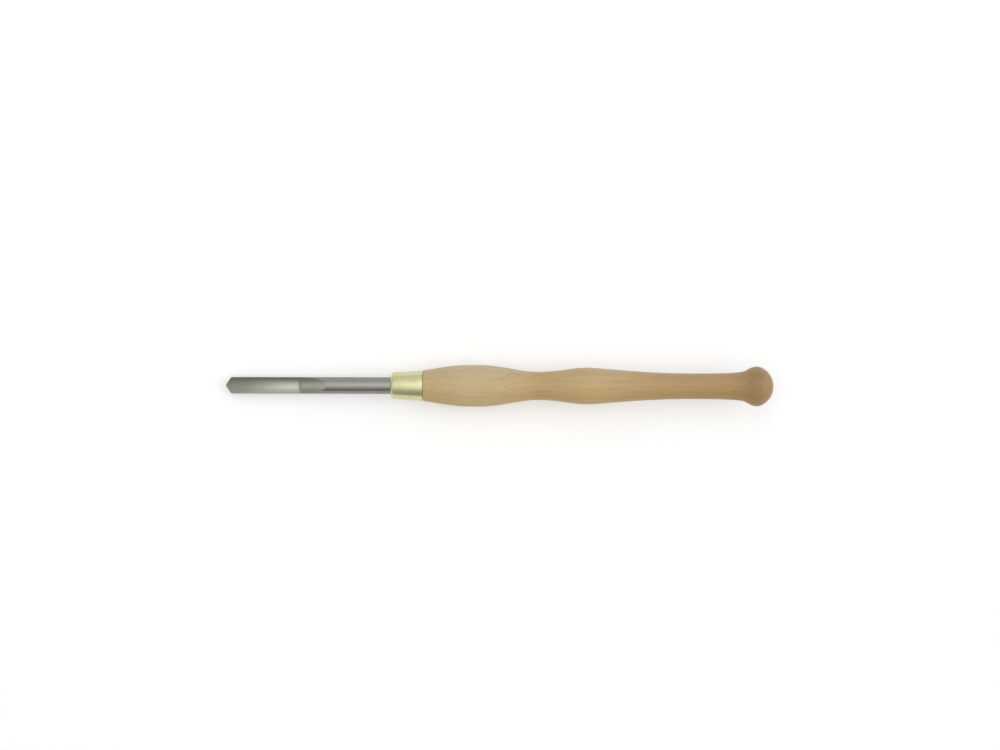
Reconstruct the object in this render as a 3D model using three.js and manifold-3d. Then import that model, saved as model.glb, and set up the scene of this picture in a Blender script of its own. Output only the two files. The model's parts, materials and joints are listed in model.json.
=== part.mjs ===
import * as THREE from 'three';
import { mergeVertices } from 'three/addons/utils/BufferGeometryUtils.js';
import Module from 'manifold-3d';

// Spindle gouge for woodturning: a round steel bar with a shallow flute ground
// along its top, bonded into a turned beech handle behind a brass ferrule.
// Millimetres, +Z up. The tool lies along X with its cutting tip towards -X.
// Places along the tool are counted from the front face of the ferrule, so the
// blade lies at negative places and the handle at positive ones.

const wasm = await Module();
wasm.setup();

// Blade
const barDiameter = 13;
const bladeReach = 130;
const shankDepth = 60;
const shankChamfer = 1;
const noseDepth = 4.5;

// Flute, ground by a wheel with a rounded rim
const fluteLength = 79.5;
const fluteRoundness = 10;
const fluteFloorDrop = 0.8;
const fluteWheelRadius = 40;

// Ferrule, a drawn cup with a hole for the bar in its front wall
const ferruleLength = 25;
const ferruleFlare = 1.6;
const ferruleLand = 1.2;
const ferruleCorner = 2.5;
const ferruleWall = 1.2;
const ferruleFrontWall = 1.5;
const ferruleRimRound = 0.4;

// Handle, from the shoulder behind the ferrule to the butt
const shoulderToBulge = 42.5;
const bulgeDiameter = 33;
const bulgeToNeck = 48.5;
const neckDiameter = 22.2;
const neckToSwell = 38.5;
const swellDiameter = 29;
const swellToGrip = 81.5;
const gripDiameter = 20.2;
const gripToKnobFoot = 40.3;
const knobFootDiameter = 23.4;
const knobFootToKnob = 11.2;
const knobDiameter = 31.5;
const knobToButt = 12.5;

// Bond line between the shank and its bore
const bondThickness = 0.3;
const bondGap = 0.1;
const bondFloor = 1;

// Clearance between seated pieces, and how far a cut runs past what it cuts
const seatGap = 0.3;
const cutOverrun = 0.5;

// Slopes of the handle's outline, as rise over run
const shoulderSlopeShare = 0.175;
const knobFootSlopeShare = 0.24;

// How far each stretch of the outline keeps the direction of its two ends,
// as shares of the stretch's length
const bulgeRiseShares = [0.56, 0.31];
const bulgeFallShares = [0.43, 0.35];
const swellRiseShares = [0.4, 0.35];
const swellFallShares = [0.11, 0.49];
const gripRiseShares = [0.85, 0.05];
const knobRiseShares = [0.26, 0.46];
const buttDomeShares = [0.28, 0.67];

// Angles and counts of facets
const drillPointDegrees = 59;
const fluteArcDegrees = 65;
const turnedSides = 36;
const curveSteps = 8;
const cornerSteps = 5;
const fluteSides = 20;
const runOutSteps = 16;

// Places and radii that follow from the sizes above
const barRadius = barDiameter / 2;
const tipPlace = -bladeReach;
const noseSlope = (barRadius - fluteFloorDrop) / noseDepth;
const noseApexPlace = tipPlace - fluteFloorDrop / noseSlope;
const nosePlace = tipPlace + noseDepth;
const holeRadius = barRadius + seatGap;
const ferruleFrontRadius = holeRadius + ferruleLand + ferruleCorner;
const ferruleRearRadius = ferruleFrontRadius + ferruleFlare;
const bondInnerRadius = barRadius + bondGap;
const bondOuterRadius = bondInnerRadius + bondThickness;
const boreRadius = bondOuterRadius + bondGap;
const tenonPlace = ferruleFrontWall + seatGap;
const boreDepth = shankDepth + bondGap + bondFloor + bondGap;
const shoulderPlace = ferruleLength + seatGap;
const bulgePlace = ferruleLength + shoulderToBulge;
const neckPlace = bulgePlace + bulgeToNeck;
const swellPlace = neckPlace + neckToSwell;
const gripPlace = swellPlace + swellToGrip;
const knobFootPlace = gripPlace + gripToKnobFoot;
const knobPlace = knobFootPlace + knobFootToKnob;
const buttPlace = knobPlace + knobToButt;

function radians(degrees) {
  return THREE.MathUtils.degToRad(degrees);
}

// A point of a turned outline: its radius, then its place along the tool.
function at(radius, place) {
  return new THREE.Vector2(radius, place);
}

// Turns an outline about the tool's axis, with a flat facet facing down.
function turned(outline) {
  const geometry = new THREE.LatheGeometry(outline, turnedSides, Math.PI / turnedSides);
  return geometry.rotateZ(-Math.PI / 2);
}

// Points of a round corner of an outline, from one direction to another.
function corner(centre, radius, startDegrees, endDegrees) {
  const points = [];
  for (let i = 0; i <= cornerSteps; i += 1) {
    const turn = radians(THREE.MathUtils.lerp(startDegrees, endDegrees, i / cornerSteps));
    points.push(at(centre.x + radius * Math.cos(turn), centre.y + radius * Math.sin(turn)));
  }
  return points;
}

// One smooth stretch of the handle's outline between two stations. Slopes are
// those of the outline at its ends.
function stretch(start, startSlope, end, endSlope, [startShare, endShare]) {
  const length = end.y - start.y;
  const startRun = startShare * length;
  const endRun = endShare * length;
  const curve = new THREE.CubicBezierCurve(
    start,
    at(start.x + startSlope * startRun, start.y + startRun),
    at(end.x - endSlope * endRun, end.y - endRun),
    end,
  );
  return curve.getPoints(curveSteps);
}

// Joins stretches that share their end points into one outline.
function joined(...stretches) {
  return stretches.flatMap((points, i) => (i === 0 ? points : points.slice(1)));
}

// The closed solid of a geometry, ready for a cut.
function solid(geometry) {
  const bare = geometry.clone();
  bare.deleteAttribute('normal');
  bare.deleteAttribute('uv');
  const merged = mergeVertices(bare);
  return new wasm.Manifold(new wasm.Mesh({
    numProp: 3,
    vertProperties: Float32Array.from(merged.attributes.position.array),
    triVerts: Uint32Array.from(merged.index.array),
  }));
}

// The geometry of a cut solid.
function geometryOf(cut) {
  const mesh = cut.getMesh();
  const geometry = new THREE.BufferGeometry();
  geometry.setAttribute('position', new THREE.BufferAttribute(mesh.vertProperties, 3));
  geometry.setIndex(new THREE.BufferAttribute(mesh.triVerts, 1));
  geometry.computeVertexNormals();
  return geometry;
}

// Skins convex rings of equal length into one closed body with flat ends.
function skinned(rings) {
  const count = rings[0].length;
  const positions = rings.flat().flatMap((point) => [point.x, point.y, point.z]);
  const faces = [];
  for (let ring = 0; ring + 1 < rings.length; ring += 1) {
    for (let i = 0; i < count; i += 1) {
      const a = ring * count + i;
      const b = ring * count + (i + 1) % count;
      faces.push(a, b, b + count, a, b + count, a + count);
    }
  }
  const last = (rings.length - 1) * count;
  for (let i = 1; i + 1 < count; i += 1) {
    faces.push(0, i + 1, i);
    faces.push(last, last + i, last + i + 1);
  }
  const geometry = new THREE.BufferGeometry();
  geometry.setAttribute('position', new THREE.Float32BufferAttribute(positions, 3));
  geometry.setIndex(faces);
  return geometry;
}

// The space that the grinding wheel sweeps: straight back from the tip, then
// up and out of the bar as the wheel lifts on its own radius.
function fluteCutter() {
  const depth = barRadius + fluteFloorDrop;
  const height = depth + cutOverrun;
  const runOut = Math.sqrt(fluteWheelRadius ** 2 - (fluteWheelRadius - depth) ** 2);
  const liftPlace = tipPlace + fluteLength - runOut;
  const liftTurn = Math.acos(1 - height / fluteWheelRadius);
  const section = [];
  for (let i = 0; i <= fluteSides; i += 1) {
    const turn = radians(THREE.MathUtils.lerp(-fluteArcDegrees, fluteArcDegrees, i / fluteSides));
    section.push({ side: fluteRoundness * Math.sin(turn), rise: fluteRoundness * (1 - Math.cos(turn)) });
  }
  const halfWidth = section.at(-1).side;
  section.push({ side: halfWidth, rise: height }, { side: -halfWidth, rise: height });
  const floor = -fluteFloorDrop;
  const frontPlace = noseApexPlace - cutOverrun;
  const rings = [section.map(({ side, rise }) => new THREE.Vector3(frontPlace, side, floor + rise))];
  for (let step = 0; step <= runOutSteps; step += 1) {
    const turn = liftTurn * step / runOutSteps;
    rings.push(section.map(({ side, rise }) => {
      const reach = fluteWheelRadius - rise;
      return new THREE.Vector3(
        liftPlace + reach * Math.sin(turn),
        side,
        floor + fluteWheelRadius - reach * Math.cos(turn),
      );
    }));
  }
  return skinned(rings);
}

// Round bar with a conical bevel at the nose and the flute cut along its top.
function bladeGeometry() {
  const bar = turned([
    at(0, noseApexPlace),
    at(barRadius, nosePlace),
    at(barRadius, shankDepth - shankChamfer),
    at(barRadius - shankChamfer, shankDepth),
    at(0, shankDepth),
  ]);
  return geometryOf(solid(bar).subtract(solid(fluteCutter())));
}

// Tapered cup with a rounded front corner, open at the rear.
function ferruleGeometry() {
  const rimPlace = ferruleLength - ferruleRimRound;
  const innerCorner = Math.max(ferruleCorner - ferruleWall, ferruleRimRound);
  const innerFrontRadius = ferruleFrontRadius - ferruleWall;
  const innerRearRadius = ferruleRearRadius - ferruleWall;
  const taperTurn = THREE.MathUtils.radToDeg(Math.atan2(ferruleFlare, ferruleLength - ferruleCorner));
  const cornerCentre = at(ferruleFrontRadius - ferruleCorner, ferruleCorner);
  const rimCentre = at(ferruleRearRadius - ferruleRimRound, rimPlace);
  const innerCentre = at(innerFrontRadius - innerCorner, ferruleFrontWall + innerCorner);
  const profile = [
    at(holeRadius, 0),
    ...corner(cornerCentre, ferruleCorner, -90, -taperTurn),
    ...corner(rimCentre, ferruleRimRound, -taperTurn, 90),
    at(innerRearRadius, ferruleLength),
    ...corner(innerCentre, innerCorner, -taperTurn, -90),
    at(holeRadius, ferruleFrontWall),
  ];
  profile.push(profile[0].clone());
  return turned(profile);
}

// Places where the outer skin of the handle runs, from shoulder to butt.
function handleOutline() {
  const shoulder = at(ferruleRearRadius, shoulderPlace);
  const bulge = at(bulgeDiameter / 2, bulgePlace);
  const neck = at(neckDiameter / 2, neckPlace);
  const swell = at(swellDiameter / 2, swellPlace);
  const grip = at(gripDiameter / 2, gripPlace);
  const knobFoot = at(knobFootDiameter / 2, knobFootPlace);
  const knob = at(knobDiameter / 2, knobPlace);
  const [domeShare, buttShare] = buttDomeShares;
  const dome = new THREE.CubicBezierCurve(
    knob,
    at(knob.x, knobPlace + domeShare * knobToButt),
    at(buttShare * knob.x, buttPlace),
    at(0, buttPlace),
  );
  return joined(
    stretch(shoulder, shoulderSlopeShare, bulge, 0, bulgeRiseShares),
    stretch(bulge, 0, neck, 0, bulgeFallShares),
    stretch(neck, 0, swell, 0, swellRiseShares),
    stretch(swell, 0, grip, 0, swellFallShares),
    stretch(grip, 0, knobFoot, knobFootSlopeShare, gripRiseShares),
    stretch(knobFoot, knobFootSlopeShare, knob, 0, knobRiseShares),
    dome.getPoints(curveSteps),
  );
}

// Turned handle: a tenon inside the ferrule, the gripped body, and a blind
// bore for the shank that ends in the drill's cone.
function handleGeometry() {
  const boreTip = boreDepth + boreRadius / Math.tan(radians(drillPointDegrees));
  const tenonTaper = ferruleFlare / (ferruleLength - ferruleCorner);
  const tenonRearRadius = ferruleRearRadius - ferruleWall - seatGap;
  const tenonFrontRadius = tenonRearRadius - tenonTaper * (shoulderPlace - tenonPlace);
  const tenonChamfer = (tenonFrontRadius - boreRadius) / 2;
  return turned([
    at(0, boreTip),
    at(boreRadius, boreDepth),
    at(boreRadius, tenonPlace),
    at(tenonFrontRadius - tenonChamfer, tenonPlace),
    at(tenonFrontRadius, tenonPlace + tenonChamfer),
    at(tenonRearRadius, shoulderPlace),
    ...handleOutline(),
  ]);
}

// Hardened adhesive that fills the bore round the shank and behind its end.
function bondGeometry() {
  const floorPlace = shankDepth + bondGap;
  const floorEnd = floorPlace + bondFloor;
  const coneTip = floorEnd + bondOuterRadius / Math.tan(radians(drillPointDegrees));
  return turned([
    at(0, floorPlace),
    at(bondInnerRadius, floorPlace),
    at(bondInnerRadius, tenonPlace),
    at(bondOuterRadius, tenonPlace),
    at(bondOuterRadius, floorEnd),
    at(0, coneTip),
  ]);
}

// The tilt at which the underside of the nose and the handle's bulge lie on
// one flat surface: the steepest line from the nose that still clears the wood.
function restTilt() {
  const flatShare = Math.cos(Math.PI / turnedSides);
  const slopes = handleOutline().map((point) => (
    flatShare * (point.x - barRadius) / (point.y - nosePlace)
  ));
  return Math.atan(Math.max(...slopes));
}

// Finishes
const groundSteel = new THREE.MeshStandardMaterial({ color: '#a3a299', roughness: 0.32, metalness: 1 });
const polishedBrass = new THREE.MeshStandardMaterial({ color: '#cdc795', roughness: 0.2, metalness: 1 });
const lacqueredBeech = new THREE.MeshStandardMaterial({ color: '#bd9c6d', roughness: 0.5, metalness: 0 });
const hardEpoxy = new THREE.MeshStandardMaterial({ color: '#c8b98a', roughness: 0.35, metalness: 0 });

function piece(name, geometry, material) {
  const mesh = new THREE.Mesh(geometry, material);
  mesh.name = name;
  return mesh;
}

const tool = new THREE.Group();
tool.add(
  piece('blade', bladeGeometry(), groundSteel),
  piece('ferrule', ferruleGeometry(), polishedBrass),
  piece('handle', handleGeometry(), lacqueredBeech),
  piece('epoxy_bond', bondGeometry(), hardEpoxy),
);
tool.rotation.y = -restTilt();

// The origin lies on the surface under the middle of the tool.
const spindleGouge = new THREE.Group();
spindleGouge.add(tool);
const extent = new THREE.Box3().setFromObject(spindleGouge, true);
tool.position.set(-(extent.min.x + extent.max.x) / 2, 0, -extent.min.z);

export default spindleGouge;
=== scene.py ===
"""Looks of a woodturner's spindle gouge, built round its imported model.

A round bar of high speed steel with a shallow flute is bonded into a turned
beech handle behind a polished brass ferrule. The tool lies on a pale table,
flute up, and is seen from straight above. The tool, its finishes and the
camera are in millimetres along and about the tool's own axis, with zero at the
front face of the ferrule and the cutting tip at a negative place. The table
and the lamps are in metres, in the model's own axes.
"""

import json
import logging
import math
from dataclasses import dataclass, field
from enum import Enum, IntEnum
from typing import Any

import bmesh
import bpy
import numpy as np
from bpy.types import Material, Mesh, Node, NodeSocket, NodeTree, Object
from mathutils import Matrix, Vector


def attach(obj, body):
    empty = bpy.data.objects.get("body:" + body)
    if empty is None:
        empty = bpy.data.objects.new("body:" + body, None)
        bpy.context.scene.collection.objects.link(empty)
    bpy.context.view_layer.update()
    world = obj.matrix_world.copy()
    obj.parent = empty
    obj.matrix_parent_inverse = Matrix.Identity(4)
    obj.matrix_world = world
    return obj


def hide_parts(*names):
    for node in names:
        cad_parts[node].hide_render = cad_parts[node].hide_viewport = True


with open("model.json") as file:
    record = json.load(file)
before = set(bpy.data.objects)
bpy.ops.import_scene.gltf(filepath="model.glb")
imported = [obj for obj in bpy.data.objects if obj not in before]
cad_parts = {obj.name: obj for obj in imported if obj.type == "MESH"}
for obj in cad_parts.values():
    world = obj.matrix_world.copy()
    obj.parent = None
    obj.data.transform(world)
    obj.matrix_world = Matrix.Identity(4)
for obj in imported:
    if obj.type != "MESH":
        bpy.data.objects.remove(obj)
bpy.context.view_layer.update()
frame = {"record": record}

MM = 0.001
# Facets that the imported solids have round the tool's axis.
PACKED_SIDES = 36
# Faces that meet at less than this angle are shaded as one curved surface.
SMOOTH_ANGLE = math.radians(28)
WHITE = (1.0, 1.0, 1.0, 1.0)

Outline = list[tuple[float, float]]
Triple = tuple[float, float, float]
Ring = list[Triple]

log = logging.getLogger("spindle_gouge")


def linear(colour: str) -> tuple[float, float, float, float]:
    """Turns an sRGB hex colour into linear values.

    Args:
        colour: The colour as a hash sign and six hex digits.

    Returns:
        Red, green, blue and an alpha of one.
    """
    shares = [int(colour[i:i + 2], 16) / 255 for i in (1, 3, 5)]
    # The straight foot and the curve of the sRGB standard.
    lit = [s / 12.92 if s <= 0.04045 else ((s + 0.055) / 1.055) ** 2.4 for s in shares]
    return (*lit, 1.0)


def fill(node: Node, inputs: dict[Any, Any]) -> None:
    """Sets a node's inputs, or links them to other nodes of its tree.

    Args:
        node: The node.
        inputs: What each input takes, by its name or number: a value, an
            output, or a node, which stands for its first output in use.
    """
    for key, value in inputs.items():
        if isinstance(value, Node):
            value = next(output for output in value.outputs if output.enabled)
        if isinstance(value, NodeSocket):
            node.id_data.links.new(value, node.inputs[key])
        else:
            node.inputs[key].default_value = value


def add_node(
    tree: NodeTree, kind: str, inputs: dict[Any, Any] | None = None, **settings: Any
) -> Node:
    """Adds a node with its settings and its inputs.

    Args:
        tree: The tree that takes the node.
        kind: The node's type name.
        inputs: What each input takes, as for fill.
        settings: Properties of the node itself.

    Returns:
        The new node.
    """
    node = tree.nodes.new(kind)
    for key, value in settings.items():
        setattr(node, key, value)
    fill(node, inputs or {})
    return node


def bare_material(name: str) -> tuple[Material, NodeTree, Node]:
    """Makes a material that has its shader alone.

    Args:
        name: The material's name.

    Returns:
        The material, its node tree and its shader.
    """
    material = bpy.data.materials.new(name)
    material.use_nodes = True
    return material, material.node_tree, material.node_tree.nodes["Principled BSDF"]


def sized(tree: NodeTree, place: Node, sizes: Triple) -> Node:
    """Scales coordinates, so that a pattern one unit large gets a real size.

    Args:
        tree: The material's node tree.
        place: The tool's own coordinates, in metres.
        sizes: The pattern's size along, beside and above the axis, in millimetres.

    Returns:
        The scaled coordinates.
    """
    return add_node(tree, "ShaderNodeVectorMath", {
        0: place, 1: tuple(1 / (size * MM) for size in sizes),
    }, operation="MULTIPLY")


def put_in_scene(name: str, data: Any) -> Object:
    """Makes an object from its data and links it to the scene.

    Args:
        name: The object's name.
        data: A mesh, a lamp or a camera.

    Returns:
        The object.
    """
    made = bpy.data.objects.new(name, data)
    bpy.context.scene.collection.objects.link(made)
    return made


@dataclass(frozen=True)
class ToolFrame:
    """Where the tool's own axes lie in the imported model.

    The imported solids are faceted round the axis. Every piece is drawn in to
    the middle of those facets, so that it lies on the same table.
    """

    matrix: Matrix
    seat_height: float = 7.4
    facet_share: float = math.cos(math.pi / PACKED_SIDES)

    @classmethod
    def from_record(cls, record: dict[str, Any]) -> "ToolFrame":
        """Reads the axes from the mount on the ferrule's front face.

        Args:
            record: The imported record.

        Returns:
            The frame, whose matrix takes metres along the tool to the model.
        """
        seat = next(mount for mount in record["mounts"] if mount["name"] == "rack_seat")
        along = -Vector(seat["axis"]).normalized()
        side = Vector((0, 1, 0))
        up = along.cross(side).normalized()
        origin = Vector(seat["pos_m"]) - up * cls.seat_height * MM
        turn = Matrix((along, side, up)).transposed()
        return cls(Matrix.Translation(origin) @ turn.to_4x4())

    def place(self, mesh: Mesh) -> None:
        """Moves a mesh from the tool's own axes to the model."""
        drawn_in = Matrix.Diagonal((1.0, self.facet_share, self.facet_share, 1.0))
        mesh.transform(self.matrix @ drawn_in)

    @property
    def along(self) -> Triple:
        """The direction of the tool's axis, towards the butt."""
        return tuple(self.matrix.to_3x3().col[0])

    def coordinates(self, tree: NodeTree) -> Node:
        """Adds object coordinates turned to the tool's own axes, in metres.

        Args:
            tree: A material's node tree.

        Returns:
            The node that gives the coordinates.
        """
        inverse = self.matrix.inverted()
        source = add_node(tree, "ShaderNodeTexCoord")
        return add_node(tree, "ShaderNodeMapping", {
            "Vector": source.outputs["Object"],
            "Location": inverse.to_translation(),
            "Rotation": inverse.to_euler(),
        })


class LineDirection(Enum):
    """Which way the fine lines on a metal run.

    The value is the part of a turn that takes the shader's tangent, which runs
    round the tool, to lie across the lines. Half a turn does what none does.
    """

    ROUND = 0.25
    ALONG = 0.0
    FANNED = 0.5


@dataclass(frozen=True)
class LinedMetal:
    """A metal whose surface was worked in one direction.

    The work leaves fine lines, which blur what the metal mirrors more across
    them than along them. Real ones lie a few hundredths of a millimetre apart.
    They are drawn about a fifth of a millimetre apart, so that they show.
    """

    name: str
    colour: str
    roughness: float
    anisotropy: float
    lines: LineDirection
    line_spacing: float
    line_depth: float
    line_roughness: float = 0.6
    spacings_per_line: float = 60.0

    def _line_height(self, tree: NodeTree, place: Node) -> Node:
        """Adds noise that is drawn out into lines.

        Args:
            tree: The material's node tree.
            place: The tool's own coordinates.

        Returns:
            The lines' height, about a half.
        """
        length = self.line_spacing * self.spacings_per_line
        if self.lines is LineDirection.ROUND:
            drawn_out = sized(tree, place, (self.line_spacing, length, length))
        elif self.lines is LineDirection.ALONG:
            drawn_out = sized(tree, place, (length, self.line_spacing, self.line_spacing))
        else:
            flat = add_node(tree, "ShaderNodeVectorMath", {
                0: place, 1: (0.0, 1.0, 1.0),
            }, operation="MULTIPLY")
            turned = add_node(tree, "ShaderNodeVectorMath", {0: flat}, operation="NORMALIZE")
            drawn_out = add_node(tree, "ShaderNodeVectorMath", {
                0: turned, "Scale": Blade.bar_diameter / 2 / self.line_spacing,
            }, operation="SCALE")
        return add_node(tree, "ShaderNodeTexNoise", {
            "Vector": drawn_out, "Scale": 1.0, "Roughness": self.line_roughness,
        })

    def _dress(
        self, tree: NodeTree, shader: Node, tool: ToolFrame,
        colour: Node, roughness: Node, height: Node,
    ) -> None:
        """Makes the shader a metal with lines.

        Args:
            tree: The material's node tree.
            shader: The material's shader.
            tool: The tool's axes, which the lines follow.
            colour: The metal's colour.
            roughness: Its roughness.
            height: The lines' height.
        """
        bump = add_node(tree, "ShaderNodeBump", {
            "Height": height, "Distance": self.line_depth * MM,
        })
        shape = add_node(tree, "ShaderNodeNewGeometry")
        around = add_node(tree, "ShaderNodeVectorMath", {
            0: shape.outputs["Normal"], 1: tool.along,
        }, operation="CROSS_PRODUCT")
        fill(shader, {
            "Base Color": colour,
            "Metallic": 1.0,
            "Roughness": roughness,
            "Normal": bump,
            "Tangent": around,
            "Anisotropic": self.anisotropy,
            "Anisotropic Rotation": self.lines.value,
        })


@dataclass(frozen=True)
class GroundSteel(LinedMetal):
    """High speed steel, hardened and ground.

    Grinding leaves a bright satin. The edge tint takes a little from what the
    steel mirrors at a steep slant, which darkens the outline of the bar.
    """

    edge_tint: str = "#bcbcba"
    tone_spread: float = 0.03
    gloss_spread: float = 0.07
    cloud_size: float = 11.0

    def material(self, tool: ToolFrame) -> Material:
        """Builds the finish.

        Args:
            tool: The tool's axes, which the lines follow.

        Returns:
            The material.
        """
        material, tree, shader = bare_material(self.name)
        place = tool.coordinates(tree)
        lines = self._line_height(tree, place)
        clouds = add_node(tree, "ShaderNodeTexNoise", {
            "Vector": place, "Scale": 1 / (self.cloud_size * MM), "Detail": 3.0,
        })
        mixed = add_node(tree, "ShaderNodeMath", {0: clouds, 1: lines}, operation="ADD")
        # Two noises, each about a half, add up to about one.
        uneven = {"Value": mixed, "From Min": 0.7, "From Max": 1.3}
        tone = add_node(tree, "ShaderNodeMapRange", {
            **uneven, "To Min": 1 - self.tone_spread, "To Max": 1 + self.tone_spread,
        })
        roughness = add_node(tree, "ShaderNodeMapRange", {
            **uneven,
            "To Min": self.roughness * (1 - self.gloss_spread),
            "To Max": self.roughness * (1 + self.gloss_spread),
        })
        colour = add_node(tree, "ShaderNodeVectorMath", {
            0: linear(self.colour)[:3], "Scale": tone,
        }, operation="SCALE")
        self._dress(tree, shader, tool, colour, roughness, lines)
        shader.inputs["Specular Tint"].default_value = linear(self.edge_tint)
        return material


@dataclass(frozen=True)
class PolishedBrass(LinedMetal):
    """Drawn brass, spun against a polishing cloth.

    The cloth leaves a soft pale yellow mirror with faint lines round the ring.
    Hands leave a thin uneven bloom on it, a little browner and duller.
    """

    name: str = "polished_brass"
    colour: str = "#d3d1a4"
    roughness: float = 0.3
    anisotropy: float = 0.6
    lines: LineDirection = LineDirection.ROUND
    line_spacing: float = 0.22
    line_depth: float = 0.002
    line_roughness: float = 0.5
    bloom: str = "#b9b07a"
    bloom_size: float = 9.0
    bloom_share: float = 0.25
    bloom_gloss: tuple[float, float] = (0.92, 1.1)

    def material(self, tool: ToolFrame) -> Material:
        """Builds the finish.

        Args:
            tool: The tool's axes, which the lines follow.

        Returns:
            The material.
        """
        material, tree, shader = bare_material(self.name)
        place = tool.coordinates(tree)
        clouds = add_node(tree, "ShaderNodeTexNoise", {
            "Vector": place, "Scale": 1 / (self.bloom_size * MM),
        })
        handled = add_node(tree, "ShaderNodeMapRange", {
            "Value": clouds, "From Min": 0.4, "From Max": 0.75, "To Max": self.bloom_share,
        })
        colour = add_node(tree, "ShaderNodeMix", {
            0: handled, 6: linear(self.colour), 7: linear(self.bloom),
        }, data_type="RGBA")
        clear, dull = self.bloom_gloss
        roughness = add_node(tree, "ShaderNodeMapRange", {
            "Value": clouds, "From Min": 0.3, "From Max": 0.7,
            "To Min": self.roughness * clear, "To Max": self.roughness * dull,
        })
        height = self._line_height(tree, place)
        self._dress(tree, shader, tool, colour, roughness, height)
        return material


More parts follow.
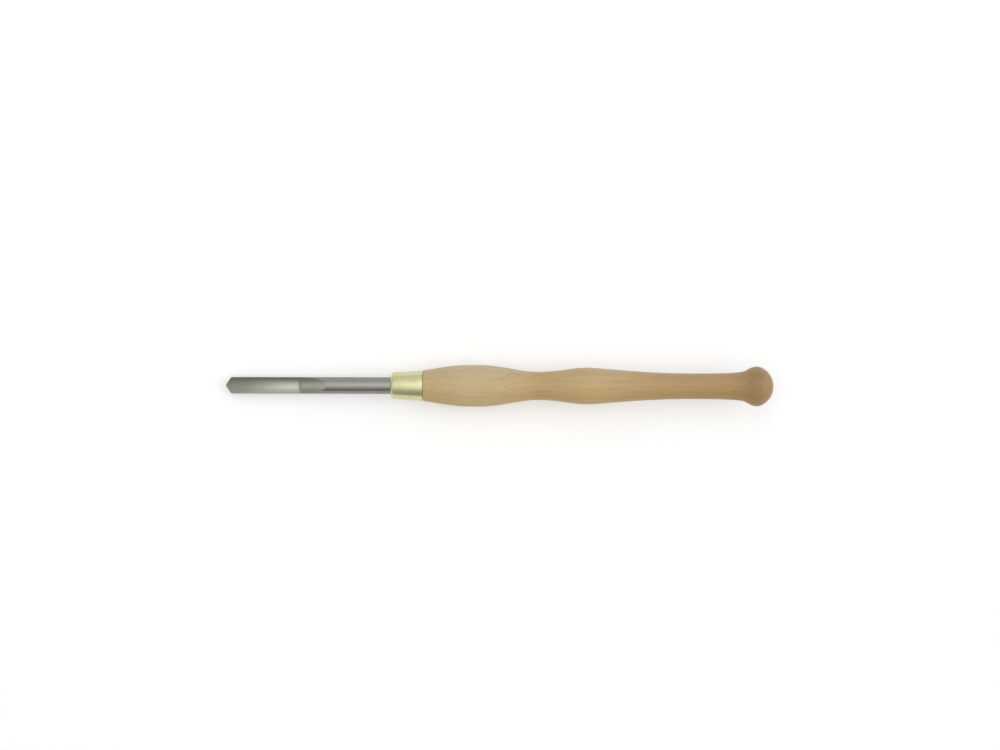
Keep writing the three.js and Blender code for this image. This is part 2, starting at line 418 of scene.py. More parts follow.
@dataclass(frozen=True)
class LacqueredBeech:
    """Beech, turned and dipped in clear lacquer.

    Beech is an even pinkish tan with faint growth rings and short dark flecks
    where the rays are cut across, and the lacquer lays a soft sheen over it. A
    painted sheen of light also makes it a little greyer and cooler on its rear
    side and yellower on its front side, and the tones along it carry a painted
    sheen that is palest at the ferrule. Real fibres and flecks are about a tenth
    of a millimetre wide. They are drawn wider, so that they show.
    """

    name: str = "lacquered_beech"
    # Places behind the ferrule's front face, and the tone there: the wood's own tone with a
    # painted sheen, palest at the ferrule and fading towards the knob.
    wood_tones_and_painted_sheen: tuple[tuple[float, str], ...] = (
        (20.0, "#caae82"),
        (60.0, "#ceb68d"),
        (90.0, "#ccb38a"),
        (118.0, "#c4a576"),
        (156.0, "#c9ad80"),
        (205.0, "#be9e72"),
        (262.0, "#b59367"),
        (286.0, "#a5845a"),
    )
    tone_sway: float = 24.0
    sway_size: float = 55.0
    # A painted sheen of light across the handle: cooler and greyer on its rear side, yellower on
    # its front side, spread over this reach either side of the axis.
    painted_sheen_rear_tint: str = "#f7fbff"
    painted_sheen_front_tint: str = "#fffcea"
    painted_sheen_reach: float = 12.0
    ring_tint: str = "#c8b79c"
    ring_share: float = 0.14
    ring_spacing: float = 3.6
    ring_sway: float = 5.0
    ring_sharpness: float = 3.0
    pith_side: float = 46.0
    pith_drop: float = 30.0
    pith_slant: float = 0.03
    fleck_tone: str = "#7d5830"
    fleck_length: float = 2.0
    fleck_width: float = 0.32
    fleck_reach: float = 3.0
    fleck_from: float = 0.9
    fleck_share: float = 0.9
    fibre_length: float = 22.0
    fibre_width: float = 0.7
    fibre_depth: float = 0.02
    fibre_spread: float = 0.07
    streak_length: float = 80.0
    streak_width: float = 2.6
    streak_spread: float = 0.06
    roughness: tuple[float, float] = (0.42, 0.52)
    ior: float = 1.5
    specular_level: float = 0.3
    lacquer_share: float = 0.25
    lacquer_roughness: float = 0.34

    def material(self, tool: ToolFrame) -> Material:
        """Builds the finish.

        Args:
            tool: The tool's axes, which the grain follows.

        Returns:
            The material.
        """
        material, tree, shader = bare_material(self.name)
        place = tool.coordinates(tree)
        sway = add_node(tree, "ShaderNodeTexNoise", {
            "Vector": place, "Scale": 1 / (self.sway_size * MM),
        })
        fibres = self._streaks(tree, place, self.fibre_length, self.fibre_width)
        streaks = self._streaks(tree, place, self.streak_length, self.streak_width)
        ringed = add_node(tree, "ShaderNodeMix", {
            0: self._growth_rings(tree, place, sway),
            6: self._drift(tree, place, sway),
            7: linear(self.ring_tint),
        }, data_type="RGBA", blend_type="MULTIPLY")
        flecked = add_node(tree, "ShaderNodeMix", {
            0: self._flecks(tree, place), 6: ringed, 7: linear(self.fleck_tone),
        }, data_type="RGBA")
        fibre_tone = add_node(tree, "ShaderNodeMapRange", {
            "Value": fibres, "From Min": 0.25, "From Max": 0.75,
            "To Min": 1 - self.fibre_spread, "To Max": 1 + self.fibre_spread,
        })
        streak_tone = add_node(tree, "ShaderNodeMapRange", {
            "Value": streaks, "From Min": 0.3, "From Max": 0.7,
            "To Min": 1 - self.streak_spread, "To Max": 1 + self.streak_spread,
        })
        tone = add_node(tree, "ShaderNodeMath", {
            0: fibre_tone, 1: streak_tone,
        }, operation="MULTIPLY")
        colour = add_node(tree, "ShaderNodeVectorMath", {
            0: flecked, "Scale": tone,
        }, operation="SCALE")
        bump = add_node(tree, "ShaderNodeBump", {
            "Height": fibres, "Strength": 0.5, "Distance": self.fibre_depth * MM,
        })
        roughness = add_node(tree, "ShaderNodeMapRange", {
            "Value": fibres, "From Min": 0.2, "From Max": 0.8,
            "To Min": self.roughness[0], "To Max": self.roughness[1],
        })
        fill(shader, {
            "Base Color": colour,
            "Roughness": roughness,
            "Normal": bump,
            "IOR": self.ior,
            "Specular IOR Level": self.specular_level,
            "Coat Weight": self.lacquer_share,
            "Coat Roughness": self.lacquer_roughness,
        })
        return material

    def _drift(self, tree: NodeTree, place: Node, sway: Node) -> Node:
        """Adds the wood's tone, partly its own and partly a painted sheen.

        It is paler at the ferrule and browner at the knob. A painted sheen of
        light also makes it greyer and cooler on its rear side and yellower on its
        front side.

        Args:
            tree: The material's node tree.
            place: The tool's own coordinates.
            sway: Slow noise that unsettles the drift.

        Returns:
            The colour.
        """
        parts = add_node(tree, "ShaderNodeSeparateXYZ", {0: place})
        swayed = add_node(tree, "ShaderNodeMath", {
            0: sway, 1: self.tone_sway * MM, 2: parts.outputs["X"],
        }, operation="MULTIPLY_ADD")
        first, last = self.wood_tones_and_painted_sheen[0][0], self.wood_tones_and_painted_sheen[-1][0]
        # The noise is about a half, so it moves the places on by half the sway.
        moved = self.tone_sway / 2
        share = add_node(tree, "ShaderNodeMapRange", {
            "Value": swayed, "From Min": (first + moved) * MM, "From Max": (last + moved) * MM,
        })
        # The ramp's tones hold a painted sheen that is palest at the ferrule and fades towards the
        # knob.
        ramp = add_node(tree, "ShaderNodeValToRGB", {"Fac": share})
        stops = ramp.color_ramp.elements
        for place_along, _ in self.wood_tones_and_painted_sheen[1:-1]:
            stops.new((place_along - first) / (last - first))
        for stop, (_, tone) in zip(stops, self.wood_tones_and_painted_sheen):
            stop.color = linear(tone)
        # Painted sheen of light: a cool tint on the rear side fading to a warm one on the front
        # side.
        side = add_node(tree, "ShaderNodeMapRange", {
            "Value": parts.outputs["Y"],
            "From Min": -self.painted_sheen_reach * MM, "From Max": self.painted_sheen_reach * MM,
        })
        tint = add_node(tree, "ShaderNodeMix", {
            0: side, 6: linear(self.painted_sheen_front_tint), 7: linear(self.painted_sheen_rear_tint),
        }, data_type="RGBA")
        return add_node(tree, "ShaderNodeMix", {
            0: 1.0, 6: ramp, 7: tint,
        }, data_type="RGBA", blend_type="MULTIPLY")

    def _growth_rings(self, tree: NodeTree, place: Node, sway: Node) -> Node:
        """Adds the share of late wood, from rings about a pith beside the handle.

        Args:
            tree: The material's node tree.
            place: The tool's own coordinates.
            sway: Slow noise that bends the rings.

        Returns:
            The share of the darker tone.
        """
        from_pith = add_node(tree, "ShaderNodeVectorMath", {
            0: place,
            1: (self.pith_slant, 1.0, 1.0),
            2: (0.0, self.pith_side * MM, self.pith_drop * MM),
        }, operation="MULTIPLY_ADD")
        distance = add_node(tree, "ShaderNodeVectorMath", {0: from_pith}, operation="LENGTH")
        bent = add_node(tree, "ShaderNodeMath", {
            0: sway, 1: self.ring_sway * MM, 2: distance,
        }, operation="MULTIPLY_ADD")
        rings = add_node(tree, "ShaderNodeMath", {
            0: bent, 1: self.ring_spacing * MM,
        }, operation="DIVIDE")
        phase = add_node(tree, "ShaderNodeMath", {0: rings}, operation="FRACT")
        late = add_node(tree, "ShaderNodeMath", {
            0: phase, 1: self.ring_sharpness,
        }, operation="POWER")
        return add_node(tree, "ShaderNodeMath", {
            0: late, 1: self.ring_share,
        }, operation="MULTIPLY")

    def _streaks(self, tree: NodeTree, place: Node, length: float, width: float) -> Node:
        """Adds streaks along the grain.

        Args:
            tree: The material's node tree.
            place: The tool's own coordinates.
            length: A streak's length in millimetres.
            width: Its width in millimetres.

        Returns:
            The streaks' height, about a half.
        """
        return add_node(tree, "ShaderNodeTexNoise", {
            "Vector": sized(tree, place, (length, width, width)),
            "Scale": 1.0, "Detail": 3.0, "Roughness": 0.6,
        })

    def _flecks(self, tree: NodeTree, place: Node) -> Node:
        """Adds the ray flecks: thin upright sheets that point to the pith.

        Args:
            tree: The material's node tree.
            place: The tool's own coordinates.

        Returns:
            The share of the fleck's tone.
        """
        turn = math.atan2(self.pith_drop, self.pith_side)
        turned = add_node(tree, "ShaderNodeMapping", {
            "Vector": place, "Rotation": (-turn, 0.0, 0.0),
        })
        sizes = (self.fleck_length, self.fleck_reach, self.fleck_width)
        cells = add_node(tree, "ShaderNodeTexVoronoi", {
            "Vector": sized(tree, turned, sizes), "Scale": 0.5,
        })
        core = add_node(tree, "ShaderNodeMapRange", {
            "Value": cells, "From Min": 0.1, "From Max": 0.3, "To Min": 1.0, "To Max": 0.0,
        }, interpolation_type="SMOOTHSTEP")
        chance = add_node(tree, "ShaderNodeSeparateColor", {"Color": cells.outputs["Color"]})
        chosen = add_node(tree, "ShaderNodeMapRange", {
            "Value": chance.outputs["Red"],
            "From Min": self.fleck_from, "To Max": self.fleck_share,
        })
        return add_node(tree, "ShaderNodeMath", {0: core, 1: chosen}, operation="MULTIPLY")


@dataclass(frozen=True)
class HardenedEpoxy:
    """Two-part epoxy, mixed by hand and set hard.

    It is a smooth glossy amber with faint swirls from the mixing, and stays
    hidden in the bore.
    """

    name: str = "hardened_epoxy"
    colour: str = "#c9b582"
    swirl_size: float = 4.0
    swirl_tones: tuple[float, float] = (0.85, 1.1)
    roughness: float = 0.3
    ior: float = 1.55

    def material(self, tool: ToolFrame) -> Material:
        """Builds the finish.

        Args:
            tool: The tool's axes.

        Returns:
            The material.
        """
        material, tree, shader = bare_material(self.name)
        swirl = add_node(tree, "ShaderNodeTexNoise", {
            "Vector": tool.coordinates(tree), "Scale": 1 / (self.swirl_size * MM), "Detail": 3.0,
        })
        tone = add_node(tree, "ShaderNodeMapRange", {
            "Value": swirl, "To Min": self.swirl_tones[0], "To Max": self.swirl_tones[1],
        })
        colour = add_node(tree, "ShaderNodeVectorMath", {
            0: linear(self.colour)[:3], "Scale": tone,
        }, operation="SCALE")
        fill(shader, {"Base Color": colour, "Roughness": self.roughness, "IOR": self.ior})
        return material


class Lathe:
    """Turns outlines about the tool's axis with Geometry Nodes.

    An outline is swept round a circle of the swing's radius. Its own radii are
    counted from the circle's centre, where points closer than the weld merge.
    """

    swing: float = 0.1
    weld: float = 1e-6

    def __init__(self, tool: ToolFrame) -> None:
        """Builds the node tree, once for all turned pieces.

        Args:
            tool: The tool's axes.
        """
        self.tool = tool
        self.tree = bpy.data.node_groups.new("turned_on_a_lathe", "GeometryNodeTree")
        sockets = self.tree.interface
        sockets.new_socket("Outline", in_out="INPUT", socket_type="NodeSocketGeometry")
        self.sides = sockets.new_socket("Sides", in_out="INPUT", socket_type="NodeSocketInt")
        self.finish = sockets.new_socket(
            "Finish", in_out="INPUT", socket_type="NodeSocketMaterial"
        )
        sockets.new_socket("Piece", in_out="OUTPUT", socket_type="NodeSocketGeometry")
        given = add_node(self.tree, "NodeGroupInput")
        path = add_node(self.tree, "GeometryNodeCurvePrimitiveCircle", {
            "Resolution": given.outputs["Sides"], "Radius": self.swing,
        })
        outline = add_node(self.tree, "GeometryNodeMeshToCurve", {
            "Mesh": given.outputs["Outline"],
        })
        swept = add_node(self.tree, "GeometryNodeCurveToMesh", {
            "Curve": path, "Profile Curve": outline,
        })
        welded = add_node(self.tree, "GeometryNodeMergeByDistance", {
            "Geometry": swept, "Distance": self.weld,
        })
        laid = add_node(self.tree, "GeometryNodeTransform", {
            "Geometry": welded, "Rotation": (0.0, -math.pi / 2, 0.0),
        })
        real = add_node(self.tree, "GeometryNodeRealizeInstances", {"Geometry": laid})
        dressed = add_node(self.tree, "GeometryNodeSetMaterial", {
            "Geometry": real, "Material": given.outputs["Finish"],
        })
        add_node(self.tree, "NodeGroupOutput", {"Piece": dressed})

    def turn(
        self, name: str, outline: Outline, sides: int, finish: Material, closed: bool = False
    ) -> Object:
        """Turns one outline into a piece in its place in the model.

        Args:
            name: The piece's name.
            outline: Radius and place of each point, in millimetres, outer side
                from front to rear.
            sides: Facets round the piece.
            finish: The piece's material.
            closed: Whether the outline closes on itself.

        Returns:
            The piece, at the origin, with a plain mesh.
        """
        blank = bpy.data.meshes.new(name + "_outline")
        points = [(radius * MM - self.swing, place * MM, 0.0) for radius, place in outline]
        edges = [(i, i + 1) for i in range(len(points) - 1)]
        if closed:
            edges.append((len(points) - 1, 0))
        blank.from_pydata(points, edges, [])
        holder = put_in_scene(name + "_blank", blank)
        modifier = holder.modifiers.new("lathe", "NODES")
        modifier.node_group = self.tree
        modifier[self.sides.identifier] = sides
        modifier[self.finish.identifier] = finish
        evaluated = holder.evaluated_get(bpy.context.evaluated_depsgraph_get())
        mesh = bpy.data.meshes.new_from_object(evaluated)
        mesh.name = name
        bpy.data.objects.remove(holder)
        bpy.data.meshes.remove(blank)
        return finished(name, mesh, self.tool)


def finished(name: str, mesh: Mesh, tool: ToolFrame) -> Object:
    """Shades a mesh smooth but for its corners and puts it in the model.

    Args:
        name: The piece's name.
        mesh: The mesh, in metres along the tool's own axes.
        tool: The tool's axes.

    Returns:
        The piece's object, at the origin.
    """
    tool.place(mesh)
    mesh.shade_smooth()
    mesh.set_sharp_from_angle(angle=SMOOTH_ANGLE)
    return put_in_scene(name, mesh)


def arc(
    centre: tuple[float, float], radius: float, start: float, end: float, steps: int = 12
) -> Outline:
    """Points of a round corner of an outline.

    Args:
        centre: Radius and place of the corner's centre.
        radius: The corner's own radius.
        start: First direction in degrees; zero points outwards, 90 rearwards.
        end: Last direction in degrees.
        steps: Chords in the corner.

    Returns:
        The points, both ends included.
    """
    turns = np.radians(np.linspace(start, end, steps + 1))
    return [(centre[0] + radius * math.cos(t), centre[1] + radius * math.sin(t)) for t in turns]


class GroundFace(IntEnum):
    """The blade's ground surfaces, in the order of its material slots."""

    SHANK = 0
    FLUTE = 1
    BEVEL = 2


@dataclass
class Blade:
    """The steel bar: conical nose bevel, flute with its run-out, plain shank.

    The flute is what a wheel with a rounded rim cuts as it travels along the
    bar and is then lifted out, so its run-out has the wheel's own radius.
    """

    bar_diameter: float = 13.0
    reach: float = 130.0
    shank_depth: float = 60.0
    shank_chamfer: float = 1.0
    nose_depth: float = 4.5
    flute_length: float = 79.5
    flute_roundness: float = 10.0
    flute_floor_drop: float = 0.8
    wheel_radius: float = 40.0
    round_steps: int = 96
    flute_steps: int = 48
    nose_steps: int = 40
    straight_steps: int = 12
    run_out_steps: int = 48
    # A short stretch behind the flute keeps its fine facets off the long ones.
    lead: float = 12.0
    # Halvings that find an edge to far below a thousandth of a millimetre.
    halvings: int = 60
    weld: float = 1e-7
    finishes: tuple[GroundSteel, ...] = (
        GroundSteel("round_ground_steel", "#95948e", 0.28, 0.3, LineDirection.ROUND, 0.18, 0.0004),
        GroundSteel("flute_ground_steel", "#a6a699", 0.16, 0.6, LineDirection.ALONG, 0.2, 0.0006),
        GroundSteel("wheel_ground_bevel", "#9d9c97", 0.3, 0.4, LineDirection.FANNED, 0.16, 0.001),
    )

    def __post_init__(self) -> None:
        """Works out the places and radii that follow from the sizes."""
        self.radius = self.bar_diameter / 2
        self.tip = -self.reach
        self.nose_slope = (self.radius - self.flute_floor_drop) / self.nose_depth
        self.apex = self.tip - self.flute_floor_drop / self.nose_slope
        self.shoulder = self.tip + self.nose_depth
        depth = self.radius + self.flute_floor_drop
        self.run_out = math.sqrt(self.wheel_radius ** 2 - (self.wheel_radius - depth) ** 2)
        self.lift = self.tip + self.flute_length - self.run_out

    def _flute_height(self, place: float, side: float) -> float:
        """Height of the flute's surface over the axis.

        Args:
            place: Place along the tool.
            side: Distance from the tool's upright middle plane.

        Returns:
            The height.
        """
        sag = self.flute_roundness - math.sqrt(max(self.flute_roundness ** 2 - side ** 2, 0.0))
        past = max(place - self.lift, 0.0)
        rim = self.wheel_radius - sag
        wheel_centre = self.wheel_radius - self.flute_floor_drop
        return wheel_centre - math.sqrt(max(rim ** 2 - past ** 2, 0.0))

    def _edge_turn(self, place: float, radius: float) -> float:
        """Turn from straight up to the edge where flute and bar meet.

        Args:
            place: Place along the tool.
            radius: The bar's radius there.

        Returns:
            The turn in radians, zero where there is no flute.
        """
        low, high = 0.0, math.pi
        if radius <= self._flute_height(place, 0.0):
            return 0.0
        for _ in range(self.halvings):
            middle = (low + high) / 2
            flute = self._flute_height(place, radius * math.sin(middle))
            low, high = (middle, high) if radius * math.cos(middle) > flute else (low, middle)
        return (low + high) / 2

    def _ring(self, place: float) -> Ring:
        """Points round one cross-section: the bar's outside, then the flute.

        Args:
            place: Place along the tool.

        Returns:
            The points, as many for every place.
        """
        radius = min(self.radius, (place - self.apex) * self.nose_slope)
        edge = math.pi if place <= self.tip else self._edge_turn(place, radius)
        outside = [
            (place, radius * math.sin(turn), radius * math.cos(turn))
            for turn in np.linspace(edge, 2 * math.pi - edge, self.round_steps + 1)
        ]
        if edge == 0.0:
            return outside + [(place, 0.0, radius)] * (self.flute_steps - 1)
        spread = math.asin(min(radius * math.sin(edge) / self.flute_roundness, 1.0))
        turns = np.linspace(-spread, spread, self.flute_steps + 1)[1:-1]
        sides = [self.flute_roundness * math.sin(turn) for turn in turns]
        return outside + [(place, side, self._flute_height(place, side)) for side in sides]

    def _places(self) -> list[float]:
        """Places of the cross-sections, close together where the shape turns.

        Returns:
            The places, from the tip to the end of the flute.
        """
        edge_side = self.radius * math.sin(self._edge_turn(self.shoulder, self.radius))
        nose = []
        for share in np.linspace(0, 1, self.nose_steps + 1):
            side = edge_side * share
            out = math.hypot(side, self._flute_height(self.shoulder, side))
            nose.append(self.apex + out / self.nose_slope)
        nose[-1] = self.shoulder
        straight = np.linspace(self.shoulder, self.lift, self.straight_steps + 1)
        turns = np.linspace(0, math.pi / 2, self.run_out_steps + 1)
        rise = [self.lift + self.run_out * math.sin(turn) for turn in turns]
        return nose + list(straight[1:]) + rise[1:]

    def _rings(self) -> list[Ring]:
        """Points of every cross-section.

        Returns:
            The rings, from the tip to the chamfered end of the shank.
        """
        places = self._places()
        rings = [self._ring(place) for place in places]
        whole = rings[-1]
        for place, radius in (
            (places[-1] + self.lead, self.radius),
            (0.0, self.radius),
            (self.shank_depth - self.shank_chamfer, self.radius),
            (self.shank_depth, self.radius - self.shank_chamfer),
        ):
            share = radius / self.radius
            rings.append([(place, y * share, z * share) for _, y, z in whole])
        return rings

    def _mesh(self) -> Mesh:
        """Skins the cross-sections into one closed mesh with its three finishes.

        Returns:
            The mesh, in metres along the tool's own axes.
        """
        rings = self._rings()
        shell = bmesh.new()
        rows = [[shell.verts.new(Vector(point) * MM) for point in ring] for ring in rings]
        for ring, next_ring, front, back in zip(rings, rings[1:], rows, rows[1:]):
            on_nose = (ring[0][0] + next_ring[0][0]) / 2 < self.shoulder
            for i in range(len(front)):
                j = (i + 1) % len(front)
                face = shell.faces.new((front[i], front[j], back[j], back[i]))
                if i >= self.round_steps:
                    face.material_index = GroundFace.FLUTE
                elif on_nose:
                    face.material_index = GroundFace.BEVEL
        shell.faces.new(rows[-1])
        bmesh.ops.remove_doubles(shell, verts=shell.verts, dist=self.weld)
        bmesh.ops.recalc_face_normals(shell, faces=shell.faces)
        mesh = bpy.data.meshes.new("blade")
        shell.to_mesh(mesh)
        shell.free()
        return mesh

    def build(self, tool: ToolFrame) -> Object:
        """Makes the blade and dresses it.

        Args:
            tool: The tool's axes.

        Returns:
            The blade's object.
        """
        mesh = self._mesh()
        for face in GroundFace:
            mesh.materials.append(self.finishes[face].material(tool))
        piece = finished("gouge_blade", mesh, tool)
        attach(piece, "root")
        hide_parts("blade")
        return piece


@dataclass
class Ferrule:
    """The brass cup that keeps the front of the handle from splitting."""

    length: float = 25.0
    flare: float = 1.6
    land: float = 1.2
    corner: float = 2.5
    wall: float = 1.2
    front_wall: float = 1.5
    rim_round: float = 0.4
    hole_radius: float = 6.8
    sides: int = 160
    finish: PolishedBrass = PolishedBrass()

    def __post_init__(self) -> None:
        """Works out the radii at its two ends."""
        self.front_radius = self.hole_radius + self.land + self.corner
        self.rear_radius = self.front_radius + self.flare

    def outline(self) -> Outline:
        """The cup's cross-section.

        Returns:
            Its points, outer side from front to rear, then back inside.
        """
        taper = math.degrees(math.atan2(self.flare, self.length - self.corner))
        inner = self.corner - self.wall
        front = (self.front_radius - self.corner, self.corner)
        rim = (self.rear_radius - self.rim_round, self.length - self.rim_round)
        inside = (self.front_radius - self.wall - inner, self.front_wall + inner)
        return [
            (self.hole_radius, 0.0),
            *arc(front, self.corner, -90, -taper),
            *arc(rim, self.rim_round, -taper, 90),
            (self.rear_radius - self.wall, self.length),
            *arc(inside, inner, -taper, -90),
            (self.hole_radius, self.front_wall),
        ]

    def build(self, lathe: Lathe) -> Object:
        """Turns the ferrule and dresses it.

        Args:
            lathe: The lathe, with the tool's axes.

        Returns:
            The ferrule's object.
        """
        brass = self.finish.material(lathe.tool)
        piece = lathe.turn("brass_ferrule", self.outline(), self.sides, brass, closed=True)
        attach(piece, "root")
        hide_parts("ferrule")
        return piece


@dataclass(frozen=True)
class Station:
    """A place on the handle's outline where its radius and slope are known.

    The outline keeps that slope for a share of the stretch before the station
    and for a share of the stretch behind it.
    """

    place: float
    radius: float
    slope: float = 0.0
    before: float = 0.0
    behind: float = 0.0


@dataclass
class Handle:
    """The turned beech handle: tenon, bulge, neck, swell, grip and knob."""

    shoulder: Station = Station(25.3, 12.1, 0.175, behind=0.56)
    bulge: Station = Station(67.5, 16.5, before=0.31, behind=0.43)
    neck: Station = Station(116.0, 11.1, before=0.35, behind=0.40)
    swell: Station = Station(154.5, 14.5, before=0.35, behind=0.11)
    grip: Station = Station(236.0, 10.1, before=0.49, behind=0.85)
    knob_foot: Station = Station(276.3, 11.7, 0.24, before=0.05, behind=0.26)
    knob: Station = Station(287.5, 15.75, before=0.46, behind=0.28)
    butt: float = 299.97
    butt_flatness: float = 0.67
    bore_radius: float = 7.0
    bore_depth: float = 61.2
    drill_point: float = 59.0
    tenon_front: float = 1.8
    tenon_rear_radius: float = 10.6
    tenon_front_radius: float = 8.93
    tenon_chamfer: float = 0.96
    steps: int = 28
    sides: int = 160
    finish: LacqueredBeech = LacqueredBeech()

    def _curve(self, corners: Outline) -> Outline:
        """Points of a smooth stretch of the outline.

        Args:
            corners: The four control points of a cubic Bezier curve.

        Returns:
            The points but the first.
        """
        t = np.linspace(0, 1, self.steps + 1)[1:, None]
        weights = np.hstack([(1 - t) ** 3, 3 * (1 - t) ** 2 * t, 3 * (1 - t) * t ** 2, t ** 3])
        return [tuple(point) for point in weights @ np.array(corners)]

    def outline(self) -> Outline:
        """The handle's cross-section.

        Returns:
            Its points, from the bore's tip round the tenon to the butt.
        """
        stations = [
            self.shoulder, self.bulge, self.neck, self.swell, self.grip, self.knob_foot, self.knob
        ]
        bore_tip = self.bore_depth + self.bore_radius / math.tan(math.radians(self.drill_point))
        points = [
            (0.0, bore_tip),
            (self.bore_radius, self.bore_depth),
            (self.bore_radius, self.tenon_front),
            (self.tenon_front_radius - self.tenon_chamfer, self.tenon_front),
            (self.tenon_front_radius, self.tenon_front + self.tenon_chamfer),
            (self.tenon_rear_radius, self.shoulder.place),
            (self.shoulder.radius, self.shoulder.place),
        ]
        for start, end in zip(stations, stations[1:]):
            first = start.behind * (end.place - start.place)
            last = end.before * (end.place - start.place)
            points += self._curve([
                (start.radius, start.place),
                (start.radius + start.slope * first, start.place + first),
                (end.radius - end.slope * last, end.place - last),
                (end.radius, end.place),
            ])
        dome = self.butt - self.knob.place
        return points + self._curve([
            (self.knob.radius, self.knob.place),
            (self.knob.radius, self.knob.place + self.knob.behind * dome),
            (self.butt_flatness * self.knob.radius, self.butt),
            (0.0, self.butt),
        ])

    def build(self, lathe: Lathe) -> Object:
        """Turns the handle and dresses it.

        Args:
            lathe: The lathe, with the tool's axes.

        Returns:
            The handle's object.
        """
        beech = self.finish.material(lathe.tool)
        piece = lathe.turn("beech_handle", self.outline(), self.sides, beech)
        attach(piece, "root")
        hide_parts("handle")
        return piece


@dataclass
class BondLine:
    """The adhesive round the shank, hidden in the handle's bore."""

    front: float = 1.8
    inner_radius: float = 6.6
    outer_radius: float = 6.9
    floor_place: float = 60.1
    floor_end: float = 61.1
    drill_point: float = 59.0
    sides: int = 96
    finish: HardenedEpoxy = HardenedEpoxy()

    def build(self, lathe: Lathe) -> Object:
        """Forms the adhesive and dresses it.

        Args:
            lathe: The lathe, with the tool's axes.

        Returns:
            The adhesive's object.
        """
        cone_tip = self.floor_end + self.outer_radius / math.tan(math.radians(self.drill_point))
        outline = [
            (0.0, self.floor_place),
            (self.inner_radius, self.floor_place),
            (self.inner_radius, self.front),
            (self.outer_radius, self.front),
            (self.outer_radius, self.floor_end),
            (0.0, cone_tip),
        ]
        epoxy = self.finish.material(lathe.tool)
        piece = lathe.turn("epoxy_bond_line", outline, self.sides, epoxy)
        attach(piece, "root")
        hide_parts("epoxy_bond")
        return piece


@dataclass(frozen=True)
class SoftBox:
    """A rectangular studio lamp behind white cloth, in metres.

    A lamp's watts are its radiance times pi times its area.
    """

    name: str
    centre: Triple
    width: float
    depth: float
    radiance: float
    aim: Triple = (0.0, 0.0, 0.0)

    def build(self) -> None:
        """Hangs the lamp."""
        lamp = bpy.data.lights.new(self.name, "AREA")
        lamp.shape = "RECTANGLE"
        lamp.size = self.width
        lamp.size_y = self.depth
        lamp.energy = self.radiance * math.pi * self.width * self.depth
        hung = put_in_scene(self.name, lamp)
        towards = Vector(self.aim) - Vector(self.centre)
        turn = towards.to_track_quat("-Z", "Y").to_matrix().to_4x4()
        hung.matrix_world = Matrix.Translation(self.centre) @ turn


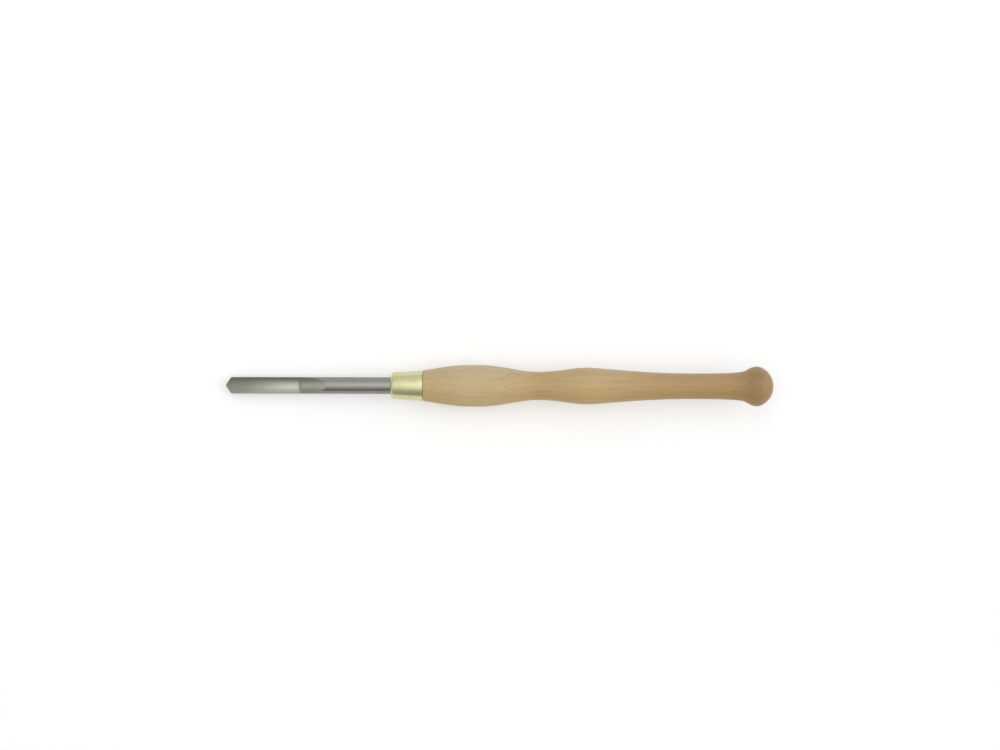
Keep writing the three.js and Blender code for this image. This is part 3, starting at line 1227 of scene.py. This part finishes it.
@dataclass
class Studio:
    """A pale table, soft light from above, and the camera straight over the tool."""

    # The camera, in millimetres along and about the tool's axis, and degrees.
    frame_width: float = 785.7
    middle_place: float = 85.4
    middle_side: float = 8.5
    camera_height: float = 1100.0
    sensor: float = 36.0
    roll: float = 0.13
    # The room. A direction's parts along and beside the tool go from 0 to 1.
    room_light: float = 0.49
    rear_light: float = 0.12
    front_tone: str = "#fffaf1"
    rear_tone: str = "#f5f9ff"
    end_light: float = 0.46
    end_from: float = 0.24
    end_to: float = 0.38
    end_side_share: float = 0.1
    end_side_from: float = 0.1
    end_side_to: float = 0.7
    # The table, in metres. The lift is what brings its lit colour up to white.
    table_colour: str = "#e0e0df"
    table_roughness: float = 0.9
    table_specular_level: float = 0.1
    table_lift: float = 0.34
    table_half: float = 14.0
    sweep_radius: float = 1.6
    sweep_steps: int = 8
    # The soft boxes, in metres, and in degrees from overhead to the rear.
    arch_radius: float = 1.5
    arch_middle: float = -0.205
    arch_width: float = 0.61
    arch_step: float = 20.0
    arch_lights: dict[int, float] = field(default_factory=lambda: {
        -50: 0.08, -30: 0.5, -10: 1.0, 10: 1.32, 30: 1.0, 50: 0.6, 70: 0.42,
    })
    right_box: SoftBox = SoftBox("right_soft_box", (2.2, 0.2, 1.4), 2.2, 2.2, 1.35)

    def _table_mesh(self) -> Mesh:
        """Forms a flat square whose far edges sweep up.

        Returns:
            The mesh.
        """
        corners, faces = [], [(0, 1, 2, 3)]
        for step, turn in enumerate(np.linspace(0, math.pi / 2, self.sweep_steps + 1)):
            out = self.table_half + self.sweep_radius * math.sin(turn)
            high = self.sweep_radius * (1 - math.cos(turn))
            corners += [(-out, -out, high), (out, -out, high), (out, out, high), (-out, out, high)]
            if step:
                low = 4 * step - 4
                faces += [
                    (low + i, low + 4 + i, low + 4 + (i + 1) % 4, low + (i + 1) % 4)
                    for i in range(4)
                ]
        mesh = bpy.data.meshes.new("table")
        mesh.from_pydata(corners, [], faces)
        mesh.shade_smooth()
        mesh.polygons[0].use_smooth = False
        return mesh

    def table(self) -> None:
        """Lays the table, white to the eye but for the tool's soft shadow.

        The lift that makes it white is seen by the camera and in the metal,
        and lights nothing.
        """
        mesh = self._table_mesh()
        table = put_in_scene("table", mesh)
        material, tree, shader = bare_material("white_board")
        rays = add_node(tree, "ShaderNodeLightPath")
        seen = add_node(tree, "ShaderNodeMath", {
            0: rays.outputs["Is Camera Ray"], 1: rays.outputs["Is Glossy Ray"],
        }, operation="MAXIMUM")
        shown = add_node(tree, "ShaderNodeMath", {
            0: seen, 1: rays.outputs["Is Transmission Ray"],
        }, operation="MAXIMUM")
        lift = add_node(tree, "ShaderNodeMath", {
            0: shown, 1: self.table_lift,
        }, operation="MULTIPLY")
        fill(shader, {
            "Base Color": linear(self.table_colour),
            "Roughness": self.table_roughness,
            "Specular IOR Level": self.table_specular_level,
            "Emission Color": WHITE,
            "Emission Strength": lift,
        })
        mesh.materials.append(material)

    def room(self) -> None:
        """Fills the room with soft light.

        It is warmer from the front, cooler and brighter from the rear, and
        brighter again from beyond the tool's two ends, most near its own line.
        """
        world = bpy.data.worlds.new("room")
        world.use_nodes = True
        tree = world.node_tree
        way = add_node(tree, "ShaderNodeTexCoord").outputs["Generated"]
        parts = add_node(tree, "ShaderNodeSeparateXYZ", {0: way})
        depth = add_node(tree, "ShaderNodeMapRange", {
            "Value": parts.outputs["Y"], "From Min": -1.0, "From Max": 1.0,
        })
        tone = add_node(tree, "ShaderNodeMix", {
            0: depth, 6: linear(self.front_tone), 7: linear(self.rear_tone),
        }, data_type="RGBA")
        length = add_node(tree, "ShaderNodeMath", {0: parts.outputs["X"]}, operation="ABSOLUTE")
        ends = add_node(tree, "ShaderNodeMapRange", {
            "Value": length, "From Min": self.end_from, "From Max": self.end_to,
            "To Max": self.end_light,
        }, interpolation_type="SMOOTHSTEP")
        aside = add_node(tree, "ShaderNodeMath", {0: parts.outputs["Y"]}, operation="ABSOLUTE")
        middle = add_node(tree, "ShaderNodeMapRange", {
            "Value": aside, "From Min": self.end_side_from, "From Max": self.end_side_to,
            "To Min": 1.0, "To Max": self.end_side_share,
        }, interpolation_type="SMOOTHSTEP")
        rear = add_node(tree, "ShaderNodeMath", {
            0: parts.outputs["Y"], 1: self.rear_light, 2: self.room_light,
        }, operation="MULTIPLY_ADD")
        total = add_node(tree, "ShaderNodeMath", {
            0: ends, 1: middle, 2: rear,
        }, operation="MULTIPLY_ADD")
        fill(tree.nodes["Background"], {"Color": tone, "Strength": total})
        bpy.context.scene.world = world

    def arch(self) -> None:
        """Hangs a row of soft boxes over the blade, like an arch from rear to front."""
        depth = 2 * self.arch_radius * math.tan(math.radians(self.arch_step / 2))
        below = (self.arch_middle, 0.0, 0.0)
        for turn, radiance in self.arch_lights.items():
            rear = self.arch_radius * math.sin(math.radians(turn))
            high = self.arch_radius * math.cos(math.radians(turn))
            centre = (self.arch_middle, rear, high)
            name = f"arch_soft_box_{turn % 360}"
            SoftBox(name, centre, self.arch_width, depth, radiance, below).build()

    def camera(self, tool: ToolFrame) -> None:
        """Sets the camera square over the tool's axis.

        Args:
            tool: The tool's axes.
        """
        data = bpy.data.cameras.new("camera")
        data.sensor_width = self.sensor
        data.lens = self.sensor * self.camera_height / self.frame_width
        camera = put_in_scene("camera", data)
        stand = Vector((self.middle_place, self.middle_side, self.camera_height)) * MM
        turn = Matrix.Rotation(math.radians(self.roll), 4, "Z")
        camera.matrix_world = tool.matrix @ Matrix.Translation(stand) @ turn
        bpy.context.scene.camera = camera

    def build(self, tool: ToolFrame) -> None:
        """Sets up the table, the light and the camera.

        Args:
            tool: The tool's axes.
        """
        self.table()
        self.room()
        self.arch()
        self.right_box.build()
        self.camera(tool)
        bpy.context.scene.view_settings.view_transform = "Standard"


def main() -> None:
    """Builds the studio and the tool, and logs each piece's faces."""
    logging.basicConfig(level=logging.INFO, format="%(name)s %(message)s")
    tool = ToolFrame.from_record(frame["record"])
    Studio().build(tool)
    lathe = Lathe(tool)
    pieces = [
        Blade().build(tool),
        Ferrule().build(lathe),
        Handle().build(lathe),
        BondLine().build(lathe),
    ]
    for piece in pieces:
        log.info("%s: %d faces", piece.name, len(piece.data.polygons))


if __name__ == "__main__":
    main()
